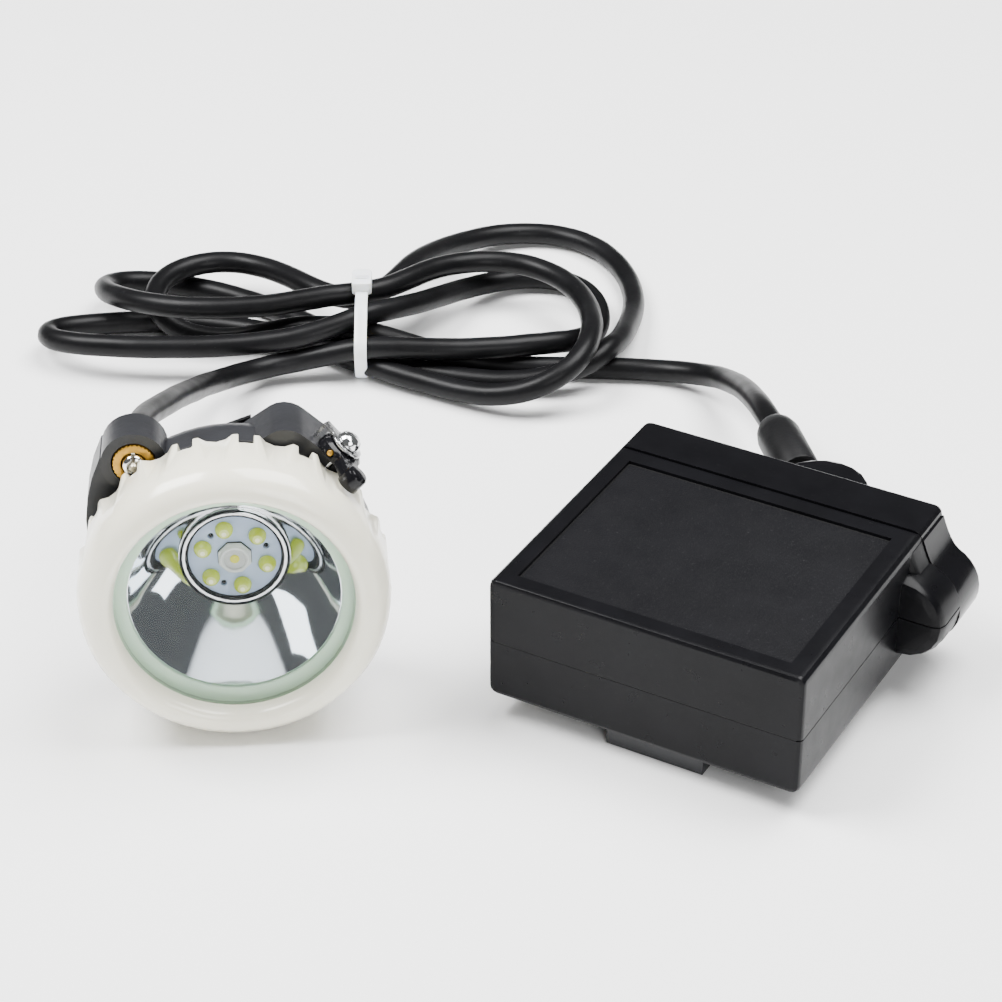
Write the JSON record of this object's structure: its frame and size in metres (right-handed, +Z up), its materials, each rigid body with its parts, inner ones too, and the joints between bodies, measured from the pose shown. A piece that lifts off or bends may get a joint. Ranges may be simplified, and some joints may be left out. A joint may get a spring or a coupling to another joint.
{
  "type": "miner's cap lamp",
  "caption": "Mining cap lamp: round headpiece with luminous bezel, reflector, side switch and helmet hook, joined by a tied hank of rubber cord to a flat belt battery.",
  "frame": {"origin": "centre of the outline of battery and headpiece, without the cord, at the floor they lie on", "axes": "+X across the battery's width, +Y along the battery towards its cable end, +Z up; the lamp's light axis points to +X and -Y"},
  "size_m": [0.293, 0.2724, 0.0744],
  "materials": {
    "luminous_plastic": "cream photoluminescent moulding, satin",
    "lens_clear": "clear, polished",
    "gasket_green": "pale green silicone",
    "reflector_chrome": "vacuum metallised",
    "chrome": "bright",
    "pcb_white": "white solder mask",
    "pcb_green": "solder mask",
    "led_dome": "phosphor under a clear dome",
    "black_plastic": "black, satin",
    "black_gloss": "black, half gloss",
    "black_rubber": "black rubber",
    "brass": "bright",
    "steel": "bright",
    "aluminium": "machined",
    "copper": "copper strip",
    "cell_sleeve": null,
    "foam": "closed cell foam",
    "tie_plastic": "white translucent nylon"
  },
  "bodies": {
    "lamp": {"bezel": "luminous_plastic", "lens": "lens_clear", "lens_gasket": "gasket_green", "reflector": "reflector_chrome", "led_ring": "chrome", "led_board": "pcb_white", "main_led": "led_dome", "aux_led_1": "led_dome", "aux_led_2": "led_dome", "aux_led_3": "led_dome", "aux_led_4": "led_dome", "aux_led_5": "led_dome", "aux_led_6": "led_dome", "board_screw_1": "steel", "board_screw_2": "steel", "board_screw_3": "steel", "heat_sink": "aluminium", "driver_board": "pcb_green", "housing": "black_plastic", "housing_oring": "black_rubber", "lock_ring": "brass", "charge_pin": "brass", "switch_clip": "chrome", "helmet_hook": "steel", "hook_screw_1": "steel", "hook_screw_2": "steel", "cable_gland": "black_rubber", "case_upper": "black_gloss", "case_lower": "black_gloss", "end_cap": "black_gloss", "cap_gasket": "black_rubber", "cap_screw_1": "steel", "cap_screw_2": "steel", "cell_1": "cell_sleeve", "cell_2": "cell_sleeve", "cell_3": "cell_sleeve", "cell_4": "cell_sleeve", "cell_strip_front": "steel", "cell_strip_rear": "steel", "foam_pad": "foam", "protection_board": "pcb_green", "cable_boot": "black_rubber", "cable_clamp": "steel", "belt_strap": "black_plastic", "strap_screw_1": "steel", "strap_screw_2": "steel", "cord_hank": "black_rubber", "cord_tie": "tie_plastic", "cord_head_tail": "black_rubber", "cord_battery_tail": "black_rubber"},
    "charge_rotor": {"lock_rotor": "steel"},
    "switch_knob": {"switch_lever": "black_gloss", "lever_set_screw": "brass", "switch_screw": "chrome", "switch_shaft": "steel", "switch_contact": "copper"}
  },
  "joints": [
    {"name": "charge_lock_turn", "type": "hinge", "parent": "lamp", "child": "charge_rotor", "pos_m": [-0.07793, -0.05848, 0.06502], "axis": [0.5529, -0.8314, 0.0549], "range_deg": [0, 180]},
    {"name": "switch_turn", "type": "hinge", "parent": "lamp", "child": "switch_knob", "pos_m": [-0.03765, -0.03348, 0.06517], "axis": [0.5457, 0.4111, 0.7303], "range_deg": [-40, 90]}
  ]
}
